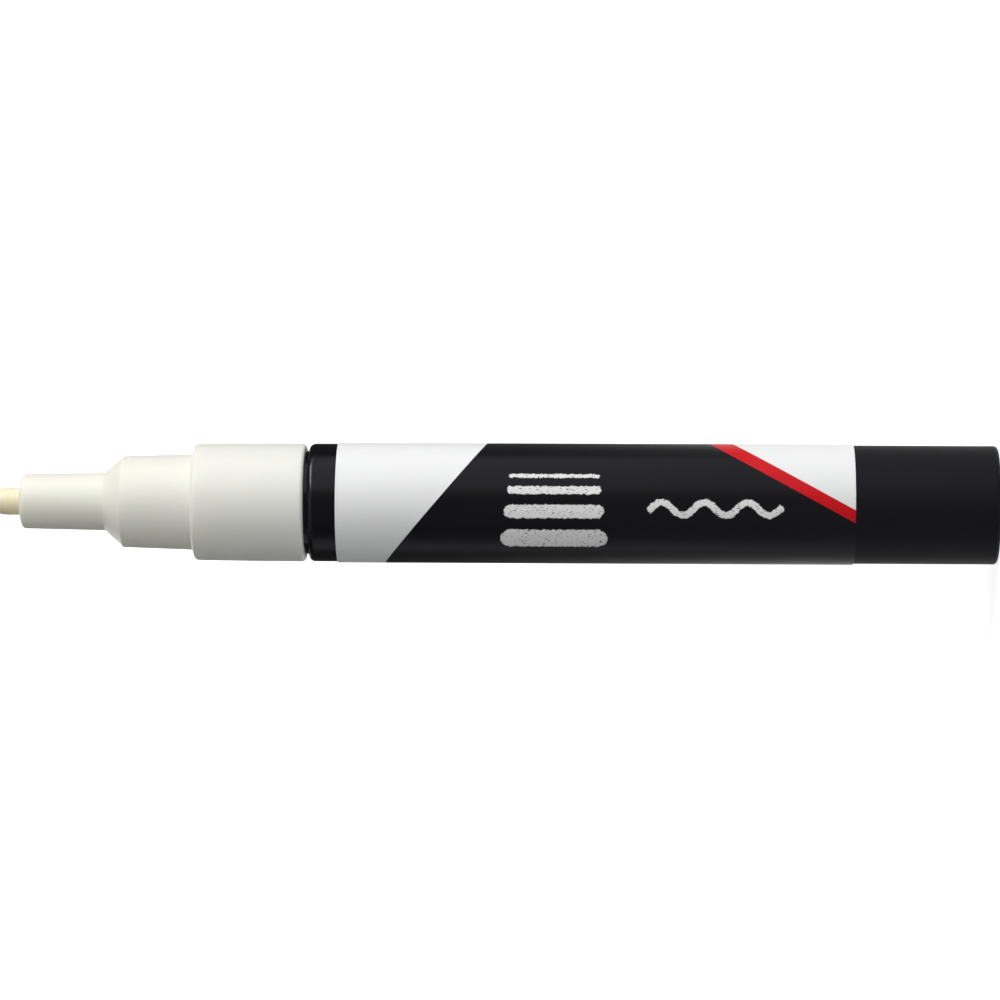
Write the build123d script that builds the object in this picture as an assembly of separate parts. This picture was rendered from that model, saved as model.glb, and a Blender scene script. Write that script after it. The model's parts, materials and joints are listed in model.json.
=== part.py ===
from build123d import *

import math
import os

# Liquid chalk marker with the cap off, standing on its tail with the nib up, along +Z.
# Nearly every piece is turned about the pen's own line, so each outline is a list of corners
# (station, radius, rounding). A station is the height above the tail's end face.
# The origin is the middle of that face.

# Barrel, seen from the tail to the black ring
barrel_radius = 7.5
tank_wall = 1.1
tail_bare_length = 18.18
label_length = 65.3
ring_length = 3.62
tail_edge_rounding = 0.5
tail_foot_cut = 0.025
ring_edge_rounding = 0.7

# Barrel neck, which carries the nose
shoulder_step = 0.95
neck_wall = 1.3
neck_length = 11.3
neck_mouth_chamfer = 0.3
shoulder_thickness = 1.4
shoulder_slope_length = 1.2
snap_bead_height = 0.22
snap_bead_length = 1.6
snap_bead_from_ring = 4.1

# Label film
label_thickness = 0.12
film_gap = 0.01

# Tail plug
tail_seat_depth = 6.4
tail_seat_step = 0.25
plug_recess = 0.45
plug_face_thickness = 1.5
plug_skirt_wall = 1.0
plug_edge_rounding = 0.25
plug_dimple_radius = 2.6
plug_dimple_depth = 0.3
gate_radius = 0.6
gate_depth = 0.25

# Nose, from the ring forward
nose_gap = 0.45
nose_land_length = 5.4
nose_wide_length = 14.29
nose_wide_draft = 0.1
nose_step_height = 1.3
nose_mid_length = 9.0
nose_mid_draft = 0.31
nose_cone_length = 2.35
nozzle_length = 10.69
nozzle_draft = 0.21
nose_rear_rounding = 0.5
nose_step_rounding = 0.7
nose_cone_rounding = 0.3
nozzle_edge_rounding = 0.62
nose_wall = 1.1
nozzle_wall = 0.94
air_channel_depth = 0.7
lip_length = 1.2
rib_count = 6
rib_width = 0.6

# Nib
nib_radius = 1.75
nib_exposed_length = 4.34
bullet_length = 2.6
nib_clearance = 0.07

# Valve
press_travel = 2.0
flange_thickness = 1.0
gasket_thickness = 0.6
housing_length = 16.0
housing_plug_length = 5.0
housing_relief = 0.65
housing_wall = 0.9
seat_wall_from_flange = 3.6
seat_wall_thickness = 1.2
seat_hole_radius = 1.35
seat_washer_thickness = 1.0
pin_radius = 0.9
pin_to_nib_gap = 0.05
stem_head_share = 0.7
stem_head_length = 2.6
stem_nose_length = 0.6
spigot_share = 0.35
spigot_length = 3.4
seal_gap = 0.02
nib_stop_gap = 0.4

# Valve spring and its retainer
wire_radius = 0.2
spring_turns = 4.5
spring_clearance = 0.25
spring_end_gap = 0.05
retainer_thickness = 1.5
retainer_hole_clearance = 0.2
flow_hole_count = 4
flow_hole_edge = 0.45

# Agitator ball
ball_radius = 2.5
ball_floor_gap = 0.02
ball_end_gap = 0.3

# Clearances and cuts
fit_clearance = 0.05
snap_clearance = 0.05
cut_overrun = 1.0

# Stations from the tail's end face
label_rear = tail_bare_length
label_front = label_rear + label_length
ring_front = label_front + ring_length
neck_front = ring_front + neck_length
nose_rear = ring_front + nose_gap
nose_step = nose_rear + nose_wide_length
cone_rear = nose_step + nose_mid_length
cone_front = cone_rear + nose_cone_length
nozzle_face = cone_front + nozzle_length
nib_tip = nozzle_face + nib_exposed_length
flange_rear = neck_front + gasket_thickness
flange_front = flange_rear + flange_thickness
seat_wall_front = flange_front - seat_wall_from_flange
seat_wall_rear = seat_wall_front - seat_wall_thickness
washer_rear = seat_wall_rear - seat_washer_thickness
head_front = washer_rear - seal_gap
head_rear = head_front - stem_head_length
housing_rear = flange_front - housing_length
retainer_front = housing_rear + retainer_thickness
nib_rear = seat_wall_front + press_travel + nib_stop_gap
snap_rear = ring_front + snap_bead_from_ring
snap_front = snap_rear + snap_bead_length
plug_inside = plug_recess + plug_face_thickness
ball_rest = plug_inside + ball_floor_gap + ball_radius

# Radii that follow from the sizes above
label_inner_radius = barrel_radius + film_gap
label_radius = label_inner_radius + label_thickness
tank_radius = barrel_radius - tank_wall
neck_radius = barrel_radius - shoulder_step
tail_seat_radius = tank_radius + tail_seat_step
neck_bore_radius = neck_radius - neck_wall
skirt_bore_radius = neck_radius + fit_clearance
flange_radius = skirt_bore_radius - fit_clearance
plug_radius = tail_seat_radius - fit_clearance
housing_plug_radius = neck_bore_radius - fit_clearance
housing_body_radius = housing_plug_radius - housing_relief
housing_bore_radius = housing_body_radius - housing_wall
washer_radius = housing_bore_radius - fit_clearance
stem_head_radius = housing_bore_radius * stem_head_share
spigot_radius = housing_bore_radius * spigot_share
guide_radius = nib_radius + nib_clearance
nose_wide_front_radius = barrel_radius - nose_wide_draft
nose_mid_rear_radius = nose_wide_front_radius - nose_step_height
nose_mid_front_radius = nose_mid_rear_radius - nose_mid_draft
chamber_radius = nose_mid_front_radius - nose_wall
nozzle_bore_radius = guide_radius + air_channel_depth
nozzle_front_radius = nozzle_bore_radius + nozzle_wall
nozzle_rear_radius = nozzle_front_radius + nozzle_draft
spring_mean_radius = spigot_radius + spring_clearance + wire_radius


def at(station, radius):
    """Point of an outline, in the plane that is turned about the pen's line."""
    return Vector(radius, 0, station)


def rounded_outline(corners):
    """Closed face through corners (station, radius, rounding), each rounding a tangent arc."""
    points = [at(corner[0], corner[1]) for corner in corners]
    roundings = [corner[2] if len(corner) > 2 else 0 for corner in corners]
    entries, exits, edges = [], [], []
    for i, point in enumerate(points):
        before = (points[i - 1] - point).normalized()
        after = (points[(i + 1) % len(points)] - point).normalized()
        if not roundings[i]:
            entries.append(point)
            exits.append(point)
            continue
        half_angle = math.radians(before.get_angle(after)) / 2
        reach = roundings[i] / math.tan(half_angle)
        centre = point + (before + after).normalized() * (roundings[i] / math.sin(half_angle))
        middle = centre + (point - centre).normalized() * roundings[i]
        entries.append(point + before * reach)
        exits.append(point + after * reach)
        edges.append(Edge.make_three_point_arc(entries[i], middle, exits[i]))
    for i in range(len(points)):
        edges.append(Edge.make_line(exits[i - 1], entries[i]))
    return Face(Wire.combine(edges)[0])


def turned(corners):
    """Solid of revolution about the pen's line."""
    return revolve(rounded_outline(corners), axis=Axis.Z)


def bar_between(rear, front, radius):
    """Round bar on the pen's line from one station to another."""
    return Pos(0, 0, (rear + front) / 2) * Cylinder(radius, front - rear)


def barrel():
    """Ink tank with its black shoulder ring and neck, on a flat cut into the tail's rounding."""
    slope_rear = ring_front - shoulder_thickness - shoulder_slope_length
    slope_front = ring_front - shoulder_thickness
    body = turned([
        (-tail_foot_cut, tail_seat_radius),
        (-tail_foot_cut, barrel_radius, tail_edge_rounding),
        (ring_front, barrel_radius, ring_edge_rounding),
        (ring_front, neck_radius),
        (snap_rear, neck_radius),
        ((snap_rear + snap_front) / 2, neck_radius + snap_bead_height),
        (snap_front, neck_radius),
        (neck_front - neck_mouth_chamfer, neck_radius),
        (neck_front, neck_radius - neck_mouth_chamfer),
        (neck_front, neck_bore_radius),
        (slope_front, neck_bore_radius),
        (slope_rear, tank_radius),
        (tail_seat_depth, tank_radius),
        (tail_seat_depth, tail_seat_radius),
    ])
    return split(body, bisect_by=Plane.XY, keep=Keep.TOP)


def label_sleeve():
    """Printed film wrapped round the barrel."""
    return turned([
        (label_rear, label_inner_radius),
        (label_rear, label_radius),
        (label_front, label_radius),
        (label_front, label_inner_radius),
    ])


def tail_plug():
    """Cup pressed into the tail, with a shallow dished face and the mark of its moulding gate."""
    dimple_floor = plug_recess + plug_dimple_depth
    skirt_inner_radius = plug_radius - plug_skirt_wall
    return turned([
        (dimple_floor + gate_depth, 0),
        (dimple_floor + gate_depth, gate_radius),
        (dimple_floor, gate_radius),
        (dimple_floor, plug_dimple_radius),
        (plug_recess, plug_dimple_radius + plug_dimple_depth),
        (plug_recess, plug_radius, plug_edge_rounding),
        (tail_seat_depth, plug_radius),
        (tail_seat_depth, skirt_inner_radius),
        (plug_inside, skirt_inner_radius, plug_edge_rounding),
        (plug_inside, 0),
    ])


def nose_shell():
    """White front: skirt over the neck, stepped body, cone and nozzle with ribs that hold the nib."""
    groove_radius = skirt_bore_radius + snap_bead_height
    lip_rear = nozzle_face - lip_length
    land_front = nose_rear + nose_land_length
    shell = turned([
        (nose_rear, skirt_bore_radius),
        (nose_rear, barrel_radius, nose_rear_rounding),
        (land_front, barrel_radius),
        (nose_step, nose_wide_front_radius, nose_step_rounding),
        (nose_step, nose_mid_rear_radius),
        (cone_rear, nose_mid_front_radius, nose_cone_rounding),
        (cone_front, nozzle_rear_radius, nose_cone_rounding),
        (nozzle_face, nozzle_front_radius, nozzle_edge_rounding),
        (nozzle_face, guide_radius),
        (lip_rear, guide_radius),
        (lip_rear, nozzle_bore_radius),
        (cone_front - nozzle_wall, nozzle_bore_radius),
        (cone_rear - nose_wall, chamber_radius),
        (flange_front, chamber_radius),
        (flange_front, skirt_bore_radius),
        (snap_front + snap_clearance, skirt_bore_radius),
        ((snap_rear + snap_front) / 2, groove_radius),
        (snap_rear - snap_clearance, skirt_bore_radius),
    ])
    rib_rear = cone_front - nozzle_wall
    rib_outer_radius = nozzle_bore_radius + nozzle_wall / 2
    rib_height = rib_outer_radius - guide_radius
    rib_middle = (rib_rear + lip_rear) / 2
    rib = Box(rib_height, rib_width, lip_rear - rib_rear)
    rib = Pos(guide_radius + rib_height / 2, 0, rib_middle) * rib
    ribs = [Rot(0, 0, 360 * i / rib_count) * rib for i in range(rib_count)]
    hole = bar_between(rib_rear - cut_overrun, nozzle_face + cut_overrun, guide_radius)
    return (shell + ribs) - hole


def nib():
    """Reversible fibre nib with the same bullet at both ends."""
    bullet_front = nib_tip - bullet_length
    bullet_rear = nib_rear + bullet_length
    outline_plane = Plane((0, 0, 0), x_dir=(0, 0, 1), z_dir=(0, 1, 0))
    front = EllipticalCenterArc((bullet_front, 0), bullet_length, nib_radius, 0, arc_size=90)
    rear = EllipticalCenterArc((bullet_rear, 0), bullet_length, nib_radius, 90, arc_size=90)
    side = Line((bullet_rear, nib_radius), (bullet_front, nib_radius))
    middle = Line((nib_rear, 0), (nib_tip, 0))
    return revolve(outline_plane * make_face([front, side, rear, middle]), axis=Axis.Z)


def neck_gasket():
    """Flat ring that seals the valve's flange on the neck."""
    return turned([
        (neck_front, neck_bore_radius),
        (neck_front, neck_radius - neck_mouth_chamfer),
        (flange_rear, neck_radius - neck_mouth_chamfer),
        (flange_rear, neck_bore_radius),
    ])


def valve_housing():
    """Flanged cup that plugs the neck, with the seat wall in front of the valve's chamber."""
    plug_rear = flange_rear - housing_plug_length
    return turned([
        (housing_rear, housing_bore_radius),
        (housing_rear, housing_body_radius),
        (plug_rear, housing_body_radius),
        (plug_rear, housing_plug_radius),
        (flange_rear, housing_plug_radius),
        (flange_rear, flange_radius),
        (flange_front, flange_radius),
        (flange_front, guide_radius),
        (seat_wall_front, guide_radius),
        (seat_wall_front, seat_hole_radius),
        (seat_wall_rear, seat_hole_radius),
        (seat_wall_rear, housing_bore_radius),
    ])


def valve_seat():
    """Soft washer that the valve closes on."""
    return turned([
        (washer_rear, seat_hole_radius),
        (washer_rear, washer_radius),
        (seat_wall_rear, washer_radius),
        (seat_wall_rear, seat_hole_radius),
    ])


def valve_stem():
    """Push pin, closing head and the spigot that the spring sits on."""
    return turned([
        (nib_rear - pin_to_nib_gap, 0),
        (nib_rear - pin_to_nib_gap, pin_radius),
        (head_front, pin_radius),
        (head_front, stem_head_radius),
        (head_rear + stem_nose_length, stem_head_radius),
        (head_rear, stem_head_radius - stem_nose_length),
        (head_rear, spigot_radius),
        (head_rear - spigot_length, spigot_radius),
        (head_rear - spigot_length, 0),
    ])


def spring_length():
    """Room between the retainer and the stem's head with the valve closed."""
    return head_rear - retainer_front - 2 * spring_end_gap


def valve_spring():
    """Round wire coil between the retainer and the stem's head."""
    rise = spring_length() - 2 * wire_radius
    pitch = rise / spring_turns
    print("valve spring: least gap between turns", round(pitch - 2 * wire_radius, 3))
    start = retainer_front + spring_end_gap + wire_radius
    path = Helix(pitch, rise, spring_mean_radius)
    profile = Plane(origin=path @ 0, z_dir=path % 0) * Circle(wire_radius)
    coil = sweep(profile, path=path, is_frenet=True)
    return Pos(0, 0, start) * coil


def spring_retainer():
    """Perforated disc at the back of the housing that the spring pushes on."""
    hole_radius = spigot_radius + retainer_hole_clearance
    disc = turned([
        (housing_rear, hole_radius),
        (housing_rear, washer_radius),
        (retainer_front, washer_radius),
        (retainer_front, hole_radius),
    ])
    flow_circle = (hole_radius + washer_radius) / 2
    flow_hole_radius = (washer_radius - hole_radius) / 2 - flow_hole_edge
    hole = bar_between(housing_rear - cut_overrun, retainer_front + cut_overrun, flow_hole_radius)
    hole = Pos(flow_circle, 0, 0) * hole
    return disc - [Rot(0, 0, 360 * i / flow_hole_count) * hole for i in range(flow_hole_count)]


def agitator_ball():
    """Loose steel ball, resting in the tail plug's cup."""
    return Pos(0, 0, ball_rest) * Sphere(ball_radius)


def main():
    os.makedirs("parts", exist_ok=True)
    pieces = [
        barrel, label_sleeve, tail_plug, nose_shell, nib, neck_gasket, valve_housing,
        valve_seat, valve_stem, valve_spring, spring_retainer, agitator_ball,
    ]
    for piece in pieces:
        export_step(piece(), f"parts/{piece.__name__}.step")
    ball_end = housing_rear - ball_end_gap - ball_radius
    print("overall length", round(nib_tip, 3), "label radius", round(label_radius, 3))
    print("ball travel", round(ball_end - ball_rest, 3), "nib length", round(nib_tip - nib_rear, 3))


main()
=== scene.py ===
import json
import math

import bpy
from mathutils import Matrix, Vector, noise


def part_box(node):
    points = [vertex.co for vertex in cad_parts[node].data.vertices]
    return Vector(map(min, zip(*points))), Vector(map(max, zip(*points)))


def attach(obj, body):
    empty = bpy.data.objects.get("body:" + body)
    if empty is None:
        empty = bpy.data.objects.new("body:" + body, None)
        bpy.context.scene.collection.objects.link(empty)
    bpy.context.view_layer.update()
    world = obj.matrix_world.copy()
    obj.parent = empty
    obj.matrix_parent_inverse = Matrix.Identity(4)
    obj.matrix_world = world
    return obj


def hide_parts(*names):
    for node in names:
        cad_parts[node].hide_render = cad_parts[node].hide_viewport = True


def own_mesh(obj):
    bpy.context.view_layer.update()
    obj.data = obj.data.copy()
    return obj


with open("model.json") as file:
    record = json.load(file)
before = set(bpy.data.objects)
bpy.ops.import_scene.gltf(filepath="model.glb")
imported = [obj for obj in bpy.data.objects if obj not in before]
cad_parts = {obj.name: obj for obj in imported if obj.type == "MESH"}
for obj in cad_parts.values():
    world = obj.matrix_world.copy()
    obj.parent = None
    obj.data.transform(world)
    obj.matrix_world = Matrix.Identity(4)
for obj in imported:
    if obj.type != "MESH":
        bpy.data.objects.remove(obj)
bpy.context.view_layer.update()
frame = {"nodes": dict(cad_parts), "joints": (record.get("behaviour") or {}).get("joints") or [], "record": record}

MM = 0.001
MICRON = 0.000001

# Sizes taken from the frame, in metres: the pen stands on its tail, so z runs along it to the nib
LABEL_LOW, LABEL_HIGH = (corner.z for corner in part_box("label_sleeve"))
LABEL_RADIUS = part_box("label_sleeve")[1].x
NIB_LOW, NIB_HIGH = (corner.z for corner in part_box("nib"))
NIB_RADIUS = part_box("nib")[1].x
SPRING_LOW, SPRING_HIGH = (corner.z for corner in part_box("valve_spring"))
SPRING_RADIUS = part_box("valve_spring")[1].x
NOSE_LOW, NOSE_HIGH = (corner.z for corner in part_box("nose_shell"))
PRESS_TRAVEL = next(joint["range_m"][1] for joint in frame["joints"] if joint["name"] == "nib_press")

# Camera, as measured in the photograph, lying on its side
VIEW_DISTANCE = 543 * MM
LENS_MM = 153.8
SENSOR_MM = 36.0
VIEW_RISE = math.radians(1.5)
VIEW_ROLL = math.radians(0.245)
AIM = Vector((0.41 * MM, 0, 62.93 * MM))
CLIP_NEAR = 0.01
CLIP_FAR = 20

# Lamps: each one's direction, strength and disc in degrees
LAMPS = {
    "key": ((0.87, -0.48, 0.05), 2.6, 76),
    "front": ((0.35, -0.91, 0.22), 0.55, 120),
    "low": ((-0.35, -0.91, 0.22), 0.44, 120),
    "back": ((-0.1, 0.8, 0.6), 1.2, 40),
}

# Strip of small lamps that glints on the black ring, at bearings round the pen in degrees
STRIP_BEARINGS = (46, 64, 82)
STRIP_RISE = math.radians(35)
STRIP_STRENGTH = 0.3
STRIP_DISC = 14

# Room and stage, in metres
ROOM_COLOUR = (0.036, 0.043, 0.042, 1)
PAPER_COLOUR = (0.5, 0.5, 0.5, 1)
FLOOR_FRONT = 1.0
FLOOR_SIDE = 1.3
FLOOR_GLOW = 0.75
CARD_DISTANCE = 2.0
CARD_WIDTH = 1.0
CARD_HEIGHT = 0.5
CARD_GLOW = 1.0

# Colours in linear light: where there are two, the surface drifts in clouds from one to the other
BLACK = (0.0008, 0.0007, 0.001, 1), (0.0015, 0.0014, 0.0019, 1)
WORN_BLACK = (0.01, 0.0096, 0.0105, 1)
# The nose is one moulding. Its front colour is painted warmer and brighter than its rear, as painted glow for
# light passing through the thin nozzle.
IVORY_REAR = (0.893, 0.886, 0.835, 1), (0.878, 0.871, 0.82, 1)
IVORY_FRONT_PAINTED_GLOW = (0.97, 0.92, 0.812, 1), (0.955, 0.905, 0.797, 1)
FIBRE = (0.95, 0.81, 0.46, 1), (0.98, 0.92, 0.76, 1)
FILM_WHITE = (0.915, 0.915, 0.913, 1), (0.895, 0.895, 0.892, 1)
PRINT_DARK = (0.0009, 0.0008, 0.0013, 1), (0.0017, 0.0015, 0.0022, 1)
PRINT_RED = (0.66, 0.007, 0.010, 1), (0.60, 0.006, 0.009, 1)
CHALK = (0.86, 0.86, 0.85, 1)
RUBBER = (0.03, 0.03, 0.032, 1), (0.06, 0.06, 0.062, 1)
MILKY = (0.80, 0.80, 0.77, 1), (0.74, 0.74, 0.70, 1)
SPRING_STEEL = (0.62, 0.61, 0.59, 1), (0.496, 0.488, 0.472, 1)
BALL_STEEL = (0.68, 0.68, 0.67, 1), (0.544, 0.544, 0.536, 1)

# Rims of the barrel, and the band on the black ring's front rounding that its mould leaves polished
NOSE_GAP = 0.45 * MM
RING_FRONT = NOSE_LOW - NOSE_GAP
RIM_WEAR = 0.7 * MM
POLISH_REAR = RING_FRONT - 0.55 * MM
POLISH_FRONT = RING_FRONT - 0.3 * MM
POLISH_FADE = 0.15 * MM
POLISH_WEIGHT = 0.8

# Parting line of the nose: half widths of its crest and foot, and its height
PARTING_CREST = 0.04 * MM
PARTING_FOOT = 0.14 * MM
PARTING_HEIGHT = 12 * MICRON

# Label film, and where each of its sides starts in its flat map: rear edge, rear bevel, printed face,
# front bevel, front edge and inside
FILM_THICKNESS = 0.11 * MM
FILM_EDGE = 0.03 * MM
FILM_STEPS = 240
FILM_ROWS = (0, 0.01, 0.015, 0.955, 0.96, 0.97, 1)
LAP_STEP = 0.06 * MM
LAP_ANGLE = math.radians(-150)
LAP_REACH = math.radians(30)
LAP_GAP_SHARE = 0.05

# Print, in millimetres along from the film's front edge and round from the side that faces the camera
PRINT_SOFTNESS = 0.05
FIELD_FRONT = 12.5
FIELD_FRONT_SLANT = 6.5
FIELD_REAR = 50
FIELD_REAR_SLANT = 14
BAND_HALF_WIDTH = 1.5
PANEL_MIDDLE = 33.5
PANEL_HALF_LENGTH = 13.5
PANEL_HALF_WIDTH = 7.5
PANEL_CORNER = 1.8

# Chalk strokes of the print: bars as (place round the pen, half width), and a wavy line
CHALK_SOFTNESS = 0.06
CHALK_RAGGEDNESS = 0.5
CHALK_SKIP_LIMITS = (0.30, 0.40)
BARS_MIDDLE = 27.5
BARS_HALF_LENGTH = 5.4
BARS = ((3.6, 0.25), (1.7, 0.5), (-1.0, 0.85), (-4.7, 1.3))
WAVE_START = 39.6
WAVE_LENGTH = 5.4
WAVE_COUNT = 3
WAVE_LEVEL = -0.6
WAVE_HEIGHT = 0.8
WAVE_HALF_WIDTH = 0.42

# Nib
BULLET_LENGTH = 2.6 * MM
GROOVE_DEPTH = 0.02 * MM
GROOVE_LENGTH = 6 * MM
GROOVES_PER_RADIAN = 9

# Valve spring
WIRE_RADIUS = 0.2 * MM
WIRE_END_SHARE = 0.7
SPRING_TURNS = 4.5

CREASE_ANGLE = math.radians(32)


class Signal:
    """A value that varies over a surface, so that sums of shader nodes read as sums."""

    def __init__(self, paint, socket):
        self.paint, self.socket = paint, socket

    def math(self, operation, *others):
        return self.paint.math(operation, self, *others)

    def __add__(self, other):
        return self.math("ADD", other)

    def __sub__(self, other):
        return self.math("SUBTRACT", other)

    def __mul__(self, other):
        return self.math("MULTIPLY", other)

    def __truediv__(self, other):
        return self.math("DIVIDE", other)

    def __radd__(self, other):
        return self.math("ADD", other)

    def __rmul__(self, other):
        return self.math("MULTIPLY", other)

    def __rsub__(self, other):
        return self.paint.math("SUBTRACT", other, self)

    def __neg__(self):
        return self * -1.0

    def __abs__(self):
        return self.math("ABSOLUTE")

    def sine(self):
        return self.math("SINE")

    def cosine(self):
        return self.math("COSINE")

    def root(self):
        return self.math("SQRT")

    def at_least(self, other):
        return self.math("MAXIMUM", other)

    def at_most(self, other):
        return self.math("MINIMUM", other)

    def centred(self):
        """Noise from 0 to 1, moved to lie about 0."""
        return self - 0.5

    def rise(self, start, end):
        """0 up to start, 1 from end, and even between them."""
        return self.paint.node("MapRange", {0: self, 1: start, 2: end, 3: 0.0, 4: 1.0})

    def inside(self, softness):
        """1 where a distance is below 0, with an edge that is soft on both sides of it."""
        return self.rise(softness, -softness)


class Paint:
    """A Principled material, with short names for the nodes that vary it."""

    def __init__(self, name, sockets):
        self.material = bpy.data.materials.new(name)
        self.material.use_nodes = True
        self.tree = self.material.node_tree
        self.shader = self.tree.nodes["Principled BSDF"]
        self.place = self.node("TexCoord", {}, "Object")
        for socket, value in sockets.items():
            self.shader.inputs[socket].default_value = value

    def feed(self, socket, value):
        if isinstance(value, Signal):
            self.tree.links.new(value.socket, socket)
        else:
            socket.default_value = value

    def node(self, kind, inputs, output=0, **settings):
        made = self.tree.nodes.new("ShaderNode" + kind)
        for key, value in settings.items():
            setattr(made, key, value)
        for key, value in inputs.items():
            self.feed(made.inputs[key], value)
        return Signal(self, made.outputs[output])

    def math(self, operation, *values):
        return self.node("Math", dict(enumerate(values)), operation=operation)

    def axes(self):
        """The pen's own x, y and z in metres."""
        split = self.tree.nodes.new("ShaderNodeSeparateXYZ")
        self.feed(split.inputs[0], self.place)
        return [Signal(self, output) for output in split.outputs]

    def noise(self, size, detail=2.0, stretch=1.0):
        """Noise from 0 to 1 with spots of that size, drawn out along the pen by stretch."""
        scale = (1 / size, 1 / size, 1 / (size * stretch))
        place = self.node("Mapping", {"Vector": self.place, "Scale": scale})
        return self.node("TexNoise", {"Vector": place, "Scale": 1.0, "Detail": detail})

    def blend(self, factor, first, second):
        """Colour that goes from first to second, which are the mix node's sockets 6 and 7."""
        return self.node("Mix", {0: factor, 6: first, 7: second}, 2, data_type="RGBA")

    def drive(self, socket, value):
        self.feed(self.shader.inputs[socket], value)

    def relief(self, height):
        """Fine relief, given as a height in metres."""
        self.drive("Normal", self.node("Bump", {"Height": height, "Distance": 1.0}))


class Film:
    """Places on the unrolled label, and distances there from the shapes of its print, in millimetres.

    along starts at the film's front edge, across_front and across_back in the middle of the front and
    of the back. side is a share: it goes from -1 to 1 over the width that the camera sees.
    """

    def __init__(self, paint):
        x, y, z = paint.axes()
        girth_per_radian = LABEL_RADIUS / MM
        self.along = (LABEL_HIGH - z) * (1 / MM)
        self.side = x * (1 / LABEL_RADIUS)
        self.across_front = paint.math("ARCTAN2", x, -y) * girth_per_radian
        self.across_back = paint.math("ARCTAN2", x, y) * girth_per_radian

    def bar(self, middle, level, half_length, half_width):
        """Distance from a bar with round ends along the pen, which is a spot if it has no length."""
        past = (abs(self.along - middle) - half_length).at_least(0.0)
        off = self.across_front - level
        return (past * past + off * off).root() - half_width

    def panel(self):
        """Distance from the panel with round corners at the back of the pen."""
        past = (abs(self.along - PANEL_MIDDLE) - (PANEL_HALF_LENGTH - PANEL_CORNER)).at_least(0.0)
        off = (abs(self.across_back) - (PANEL_HALF_WIDTH - PANEL_CORNER)).at_least(0.0)
        return (past * past + off * off).root() - PANEL_CORNER

    def wave(self):
        """Distance from the wavy line, which has round ends."""
        turn_per_mm = 2 * math.pi / WAVE_LENGTH
        half_length = WAVE_COUNT * WAVE_LENGTH / 2
        turn = (self.along - WAVE_START) * turn_per_mm
        slope = WAVE_HEIGHT * turn.cosine() * turn_per_mm
        off = abs(self.across_front - (WAVE_LEVEL + WAVE_HEIGHT * turn.sine()))
        line = off / (1 + slope * slope).root() - WAVE_HALF_WIDTH
        line = line.at_least(abs(self.along - (WAVE_START + half_length)) - half_length)
        for end in (WAVE_START, WAVE_START + 2 * half_length):
            line = line.at_most(self.bar(end, WAVE_LEVEL, 0.0, WAVE_HALF_WIDTH))
        return line


def black_plastic():
    """Moulded black plastic: satin at the ring, more finely eroded towards the tail."""
    ring_roughness, tail_gain, rim_loss = 0.31, 0.22, 0.1
    mottle_gain, scuff_gain, wear_gain = 0.08, 0.06, 0.06
    grain_height, scuff_height = 1.2 * MICRON, 0.8 * MICRON
    wear_depth, wear_limits, scuff_limits = 0.5, (0.5, 0.65), (0.6, 0.8)
    paint = Paint(
        "black_plastic",
        {"Specular IOR Level": 0.15, "Specular Tint": (0.9, 0.85, 1.0, 1), "Coat Roughness": 0.16},
    )
    _, _, z = paint.axes()
    mottle = paint.noise(size=2.5 * MM, detail=4)
    grain = paint.noise(size=0.35 * MM)
    scuff = paint.noise(size=0.5 * MM, detail=3, stretch=9)
    tail = z.rise(LABEL_HIGH, LABEL_LOW)
    ring_rim = z.rise(RING_FRONT - RIM_WEAR, RING_FRONT)
    tail_rim = z.rise(RIM_WEAR, 0.0)
    worn = tail_rim.at_least(ring_rim) * mottle.rise(*wear_limits)
    polished = z.rise(POLISH_REAR - POLISH_FADE, POLISH_REAR)
    polished = polished * z.rise(POLISH_FRONT + POLISH_FADE, POLISH_FRONT)
    satin = ring_roughness + tail_gain * tail - rim_loss * ring_rim
    marks = mottle_gain * mottle.centred() + scuff_gain * scuff.rise(*scuff_limits) + wear_gain * worn
    black = paint.blend(mottle, *BLACK)
    paint.drive("Base Color", paint.blend(worn * wear_depth, black, WORN_BLACK))
    paint.drive("Coat Weight", POLISH_WEIGHT * polished)
    paint.drive("Roughness", satin + marks)
    paint.relief(grain * (grain_height + grain_height * tail) + scuff * scuff_height)
    return paint.material


def ivory_plastic():
    """Slightly see-through off-white plastic with a fine satin grain, a faint parting line and painted glow
    towards the tip.
    """
    roughness, grain_gain, drag_gain = 0.42, 0.1, 0.06
    grain_height, drag_height = 1.6 * MICRON, 0.8 * MICRON
    paint = Paint(
        "ivory_plastic",
        {
            "Subsurface Weight": 0.5,
            "Subsurface Radius": (1.0, 0.88, 0.74),
            "Subsurface Scale": 1.1 * MM,
            "Specular IOR Level": 0.35,
        },
    )
    _, y, z = paint.axes()
    cloud = paint.noise(size=6 * MM, detail=3)
    grain = paint.noise(size=0.3 * MM)
    drag = paint.noise(size=0.4 * MM, detail=3, stretch=12)
    # Painted glow: the colour turns warmer and brighter towards the tip, standing in for light passing through the
    # thin nozzle.
    painted_glow_towards_tip = z.rise(NOSE_LOW, NOSE_HIGH)
    parting = abs(y).rise(PARTING_FOOT, PARTING_CREST)
    rear, front = paint.blend(cloud, *IVORY_REAR), paint.blend(cloud, *IVORY_FRONT_PAINTED_GLOW)
    paint.drive("Base Color", paint.blend(painted_glow_towards_tip, rear, front))
    paint.drive("Roughness", roughness + grain_gain * grain.centred() + drag_gain * drag.centred())
    paint.relief(grain * grain_height + drag * drag_height + parting * PARTING_HEIGHT)
    return paint.material


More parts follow.
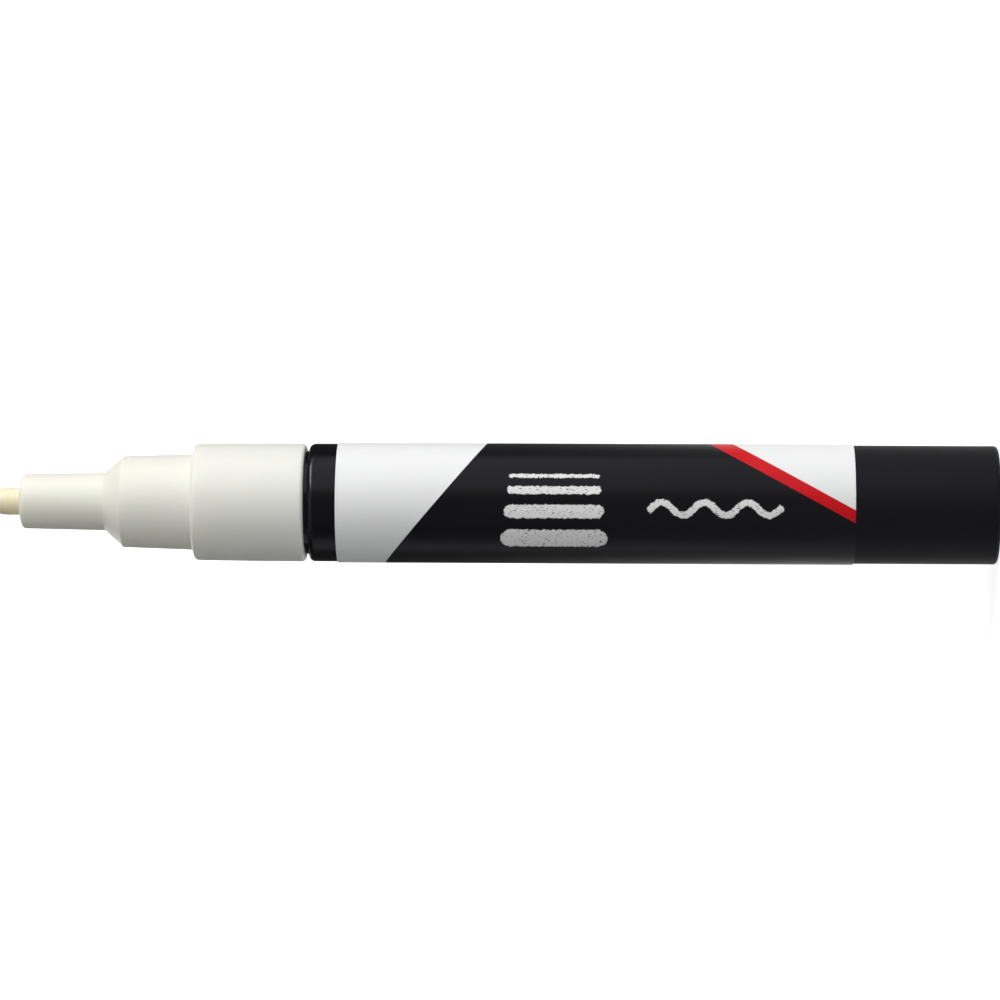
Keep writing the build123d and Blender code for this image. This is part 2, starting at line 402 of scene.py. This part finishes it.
def nib_fibre():
    """Bonded fibres along the nib, pale cream, with darker pores between them."""
    roughness, strand_loss = 0.5, 0.15
    strand_share, pore_share, pore_limits = 0.6, 0.4, (0.35, 0.6)
    strand_height, pore_height = 14 * MICRON, 10 * MICRON
    paint = Paint(
        "nib_fibre",
        {
            "Specular IOR Level": 0.7,
            "Subsurface Weight": 0.7,
            "Subsurface Radius": (1.0, 0.8, 0.4),
            "Subsurface Scale": 1.0 * MM,
            "Sheen Weight": 0.15,
            "Sheen Roughness": 0.6,
        },
    )
    strands = paint.noise(size=0.12 * MM, detail=4, stretch=14)
    pores = paint.noise(size=0.16 * MM, stretch=3)
    paleness = strands * strand_share + pores.rise(*pore_limits) * pore_share
    paint.drive("Base Color", paint.blend(paleness, *FIBRE))
    paint.drive("Roughness", roughness - strand_loss * strands)
    paint.relief(strands * strand_height + pores * pore_height)
    return paint.material


def label_film():
    """White film with a printed dark field, a red band, chalk strokes and a bare panel at the back."""
    roughness, cloud_gain, rub_gain, chalk_gain = 0.30, 0.08, 0.06, 0.2
    ripple_height, rub_height = 3 * MICRON, 0.6 * MICRON
    paint = Paint("label_film", {"Specular IOR Level": 0.14, "Specular Tint": (0.9, 0.87, 1.0, 1)})
    film = Film(paint)
    cloud = paint.noise(size=5 * MM, detail=3)
    rub = paint.noise(size=0.4 * MM, detail=3, stretch=10)
    ripple = paint.noise(size=1.1 * MM)
    ragged = paint.noise(size=0.45 * MM, detail=3).centred()
    powder = paint.noise(size=0.15 * MM, detail=3, stretch=2.5)

    from_front = film.along - (FIELD_FRONT + FIELD_FRONT_SLANT * film.side)
    from_rear = film.along - (FIELD_REAR + FIELD_REAR_SLANT * (1 - film.side))
    field = (-from_front).inside(PRINT_SOFTNESS) * from_rear.inside(PRINT_SOFTNESS)
    field = field * (1 - film.panel().inside(PRINT_SOFTNESS))
    band = (abs(from_rear + BAND_HALF_WIDTH) - BAND_HALF_WIDTH).inside(PRINT_SOFTNESS) * field
    shapes = film.wave()
    for level, half_width in BARS:
        shapes = shapes.at_most(film.bar(BARS_MIDDLE, level, BARS_HALF_LENGTH, half_width))
    strokes = (shapes + ragged * CHALK_RAGGEDNESS).inside(CHALK_SOFTNESS)
    strokes = strokes * powder.rise(*CHALK_SKIP_LIMITS) * field

    colour = paint.blend(field, paint.blend(cloud, *FILM_WHITE), paint.blend(cloud, *PRINT_DARK))
    colour = paint.blend(band, colour, paint.blend(cloud, *PRINT_RED))
    paint.drive("Base Color", paint.blend(strokes, colour, CHALK))
    marks = cloud_gain * cloud.centred() + rub_gain * rub + chalk_gain * strokes
    paint.drive("Roughness", roughness + marks)
    paint.relief(ripple * ripple_height + rub * rub_height)
    return paint.material


def seal_rubber():
    """Soft grey rubber with a bloom."""
    roughness, bloom_gain, grain_height = 0.65, 0.2, 4 * MICRON
    paint = Paint("seal_rubber", {"Specular IOR Level": 0.3})
    bloom = paint.noise(size=0.8 * MM, detail=4)
    grain = paint.noise(size=0.15 * MM)
    paint.drive("Base Color", paint.blend(bloom, *RUBBER))
    paint.drive("Roughness", roughness + bloom_gain * bloom)
    paint.relief(grain * grain_height)
    return paint.material


def natural_plastic():
    """Milky unpigmented plastic of the valve."""
    roughness, cloud_gain, grain_height = 0.35, 0.15, 2 * MICRON
    paint = Paint(
        "natural_plastic",
        {
            "Subsurface Weight": 0.6,
            "Subsurface Radius": (1.0, 1.0, 0.9),
            "Subsurface Scale": 1.5 * MM,
        },
    )
    cloud = paint.noise(size=1.5 * MM, detail=3)
    grain = paint.noise(size=0.2 * MM)
    paint.drive("Base Color", paint.blend(cloud, *MILKY))
    paint.drive("Roughness", roughness + cloud_gain * cloud)
    paint.relief(grain * grain_height)
    return paint.material


def drawn_steel(name, colours, roughness):
    """Bright steel with fine marks from drawing or rolling."""
    mark_gain, mark_height = 0.15, 1.5 * MICRON
    paint = Paint(name, {"Metallic": 1.0})
    marks = paint.noise(size=0.08 * MM, detail=4)
    tarnish = paint.noise(size=1.2 * MM, detail=3)
    paint.drive("Base Color", paint.blend(tarnish, *colours))
    paint.drive("Roughness", roughness + mark_gain * marks.centred())
    paint.relief(marks * mark_height)
    return paint.material


def glow_where_seen(name, glow):
    """Pale studio paper that the camera, gloss and clear pieces see lit up by glow."""
    paint = Paint(
        name,
        {
            "Base Color": PAPER_COLOUR,
            "Roughness": 0.9,
            "Specular IOR Level": 0.1,
            "Emission Color": (1, 1, 1, 1),
        },
    )
    seen = paint.node("LightPath", {}, "Is Camera Ray")
    for ray in ("Is Glossy Ray", "Is Transmission Ray"):
        seen = seen.at_least(paint.node("LightPath", {}, ray))
    paint.drive("Emission Strength", seen * glow)
    return paint.material


def new_object(name, points, faces, material):
    """Smooth-shaded object in the scene, with creases where its faces turn sharply."""
    mesh = bpy.data.meshes.new(name)
    mesh.from_pydata(points, [], faces)
    mesh.materials.append(material)
    mesh.polygons.foreach_set("use_smooth", [True] * len(mesh.polygons))
    mesh.set_sharp_from_angle(angle=CREASE_ANGLE)
    made = bpy.data.objects.new(name, mesh)
    bpy.context.scene.collection.objects.link(made)
    return made


def around(angle, radius, height):
    """Point round the pen: angle 0 faces the camera and a right angle is up in the picture."""
    return (radius * math.sin(angle), -radius * math.cos(angle), height)


def loops_joined(loops, closed):
    """Points and faces of a skin through closed loops of points, ending in the first loop if closed."""
    points = [point for loop in loops for point in loop]
    size, faces = len(loops[0]), []
    for i in range(len(loops) - (0 if closed else 1)):
        here, after = i * size, (i + 1) % len(loops) * size
        faces += [(here + j, here + (j + 1) % size, after + (j + 1) % size, after + j) for j in range(size)]
    return points, faces


def unroll(piece, columns, rows):
    """Flat map for the print: a column for each step round the pen, and a row between each two of rows."""
    layer = piece.data.uv_layers.new(name="OFBake")
    for face in piece.data.polygons:
        column, row = divmod(face.index, len(rows) - 1)
        left, right = column / columns, (column + 1) / columns
        low, high = rows[row], rows[row + 1]
        corners = ((left, low), (left, high), (right, high), (right, low))
        for loop, corner in zip(face.loop_indices, corners):
            layer.uv[loop].vector = corner


def label_piece(material):
    """Film wrapped once round the barrel, its end lapped over its start at the back."""
    inner = LABEL_RADIUS - FILM_THICKNESS
    loops = []
    for i in range(FILM_STEPS + 1):
        turned = 2 * math.pi * min(i, FILM_STEPS - LAP_GAP_SHARE) / FILM_STEPS
        sunk = LAP_STEP * max(0, 1 - turned / LAP_REACH) ** 2
        outer = LABEL_RADIUS - sunk
        outline = [
            (inner, LABEL_LOW),
            (outer - FILM_EDGE, LABEL_LOW),
            (outer, LABEL_LOW + FILM_EDGE),
            (outer, LABEL_HIGH - FILM_EDGE),
            (outer - FILM_EDGE, LABEL_HIGH),
            (inner, LABEL_HIGH),
        ]
        loops.append([around(LAP_ANGLE + turned, radius, height) for radius, height in outline])
    piece = new_object("label_film", *loops_joined(loops, closed=True), material)
    unroll(piece, len(loops), FILM_ROWS)
    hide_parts("label_sleeve")
    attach(piece, "marker_body")


def nib_radius_at(height):
    """Radius of the nib's bullet ends and straight middle."""
    from_end = min(height - NIB_LOW, NIB_HIGH - height)
    into_bullet = max(0, 1 - from_end / BULLET_LENGTH)
    return NIB_RADIUS * math.sqrt(max(0, 1 - into_bullet**2))


def groove_at(angle, height):
    """Depth of the nib's fine uneven grooves, which run along it."""
    across, up = GROOVES_PER_RADIAN * math.sin(angle), GROOVES_PER_RADIAN * math.cos(angle)
    depth_share = 0.5 + 0.5 * noise.noise(Vector((across, up, height / GROOVE_LENGTH)))
    return GROOVE_DEPTH * depth_share


def nib_piece(material):
    """Bullet of bonded fibres with shallow grooves along it."""
    around_steps, end_steps, middle_steps = 96, 22, 60
    heights = []
    for i in range(1, end_steps):
        heights.append(NIB_LOW + BULLET_LENGTH * (1 - math.cos(math.pi / 2 * i / end_steps)))
    straight = NIB_HIGH - NIB_LOW - 2 * BULLET_LENGTH
    for i in range(middle_steps + 1):
        heights.append(NIB_LOW + BULLET_LENGTH + straight * i / middle_steps)
    heights += [NIB_LOW + NIB_HIGH - height for height in reversed(heights[: end_steps - 1])]
    angles = [2 * math.pi * j / around_steps for j in range(around_steps)]
    loops = []
    for height in heights:
        radius = nib_radius_at(height)
        loops.append([around(angle, radius - groove_at(angle, height), height) for angle in angles])
    points, faces = loops_joined(loops, closed=False)
    first, last = len(points), len(points) + 1
    points += [(0, 0, NIB_LOW), (0, 0, NIB_HIGH)]
    top = (len(loops) - 1) * around_steps
    for j in range(around_steps):
        beside = (j + 1) % around_steps
        faces += [(first, beside, j), (last, top + j, top + beside)]
    piece = new_object("nib_bullet", points, faces, material)
    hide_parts("nib")
    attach(piece, "nib")


def spring_piece(material):
    """Round wire coil with narrowed ends."""
    turn_steps, wire_steps = 48, 12
    mean = SPRING_RADIUS - WIRE_RADIUS
    start, end = SPRING_LOW + WIRE_RADIUS, SPRING_HIGH - WIRE_RADIUS
    count = int(turn_steps * SPRING_TURNS)
    rise_per_radian = (end - start) / SPRING_TURNS / (2 * math.pi)
    loops = []
    for i in range(count + 1):
        angle = 2 * math.pi * SPRING_TURNS * i / count
        outward = Vector((math.cos(angle), math.sin(angle), 0))
        middle = mean * outward + Vector((0, 0, start + rise_per_radian * angle))
        ahead = Vector((-mean * math.sin(angle), mean * math.cos(angle), rise_per_radian)).normalized()
        upward = ahead.cross(outward)
        thin = WIRE_RADIUS * (WIRE_END_SHARE if i in (0, count) else 1)
        loop = []
        for j in range(wire_steps):
            turn = 2 * math.pi * j / wire_steps
            loop.append(middle + thin * (math.cos(turn) * outward - math.sin(turn) * upward))
        loops.append(loop)
    points, faces = loops_joined(loops, closed=False)
    faces += [tuple(range(wire_steps))[::-1], tuple(range(len(points) - wire_steps, len(points)))]
    piece = new_object("valve_coil", points, faces, material)
    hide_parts("valve_spring")
    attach(piece, "marker_body")
    length = SPRING_HIGH - SPRING_LOW
    1 - PRESS_TRAVEL / length
    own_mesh(piece)


def make_stage():
    """Pale floor, cut short in front of the pen, and a white card behind it and one to its side."""
    floor = [
        (-CARD_DISTANCE, -FLOOR_FRONT, 0),
        (FLOOR_SIDE, -FLOOR_FRONT, 0),
        (FLOOR_SIDE, CARD_DISTANCE, 0),
        (-CARD_DISTANCE, CARD_DISTANCE, 0),
    ]
    half = CARD_WIDTH / 2
    corners = ((-half, 0), (half, 0), (half, CARD_HEIGHT), (-half, CARD_HEIGHT))
    back = [(across, CARD_DISTANCE, height) for across, height in corners]
    beside = [(-CARD_DISTANCE, across, height) for across, height in corners]
    paper = glow_where_seen("paper", FLOOR_GLOW)
    card = glow_where_seen("card", CARD_GLOW)
    new_object("floor", floor, [(0, 1, 2, 3)], paper)
    for name, points in (("back_card", back), ("side_card", beside)):
        made = new_object(name, points, [(0, 1, 2, 3)], card)
        made.visible_shadow = False


def add_sun(name, towards, strength, angle):
    """Soft lamp far away in that direction."""
    lamp = bpy.data.lights.new(name, "SUN")
    lamp.energy = strength
    lamp.angle = math.radians(angle)
    made = bpy.data.objects.new(name, lamp)
    made.rotation_mode = "QUATERNION"
    made.rotation_quaternion = Vector(towards).to_track_quat("Z", "Y")
    bpy.context.scene.collection.objects.link(made)


def make_light():
    """A broad key from above in the picture, a strip that glints, weak fills and a dim grey room."""
    for name, (towards, strength, angle) in LAMPS.items():
        add_sun(name, towards, strength, angle)
    for bearing in STRIP_BEARINGS:
        towards = around(math.radians(bearing), math.cos(STRIP_RISE), math.sin(STRIP_RISE))
        add_sun("strip", towards, STRIP_STRENGTH, STRIP_DISC)
    world = bpy.data.worlds.new("room")
    world.use_nodes = True
    world.node_tree.nodes["Background"].inputs["Color"].default_value = ROOM_COLOUR
    bpy.context.scene.world = world


def make_camera():
    """Looks at the pen's front, rolled on its side so that the nib points left."""
    forward = Vector((0, math.cos(VIEW_RISE), math.sin(VIEW_RISE)))
    up = Vector((1, 0, 0))
    right = forward.cross(up)
    up = (up * math.cos(VIEW_ROLL) - right * math.sin(VIEW_ROLL)).normalized()
    right = forward.cross(up)
    lens = bpy.data.cameras.new("camera")
    lens.lens = LENS_MM
    lens.sensor_width = SENSOR_MM
    lens.clip_start = CLIP_NEAR
    lens.clip_end = CLIP_FAR
    camera = bpy.data.objects.new("camera", lens)
    turned = Matrix((right, up, -forward)).transposed().to_4x4()
    camera.matrix_world = Matrix.Translation(AIM - forward * VIEW_DISTANCE) @ turned
    bpy.context.scene.collection.objects.link(camera)
    bpy.context.scene.camera = camera


finishes = {
    "black_plastic": black_plastic(),
    "ivory_plastic": ivory_plastic(),
    "nib_fibre": nib_fibre(),
    "label_film": label_film(),
    "seal_rubber": seal_rubber(),
    "natural_plastic": natural_plastic(),
    "spring_steel": drawn_steel("spring_steel", SPRING_STEEL, roughness=0.28),
    "ball_steel": drawn_steel("ball_steel", BALL_STEEL, roughness=0.16),
}
for part in frame["record"]["subparts"]:
    mesh = frame["nodes"][part["node"]].data
    mesh.materials.clear()
    mesh.materials.append(finishes[part["material_slot"]])

label_piece(finishes["label_film"])
nib_piece(finishes["nib_fibre"])
spring_piece(finishes["spring_steel"])
make_stage()
make_light()
make_camera()
bpy.context.scene.view_settings.view_transform = "Standard"
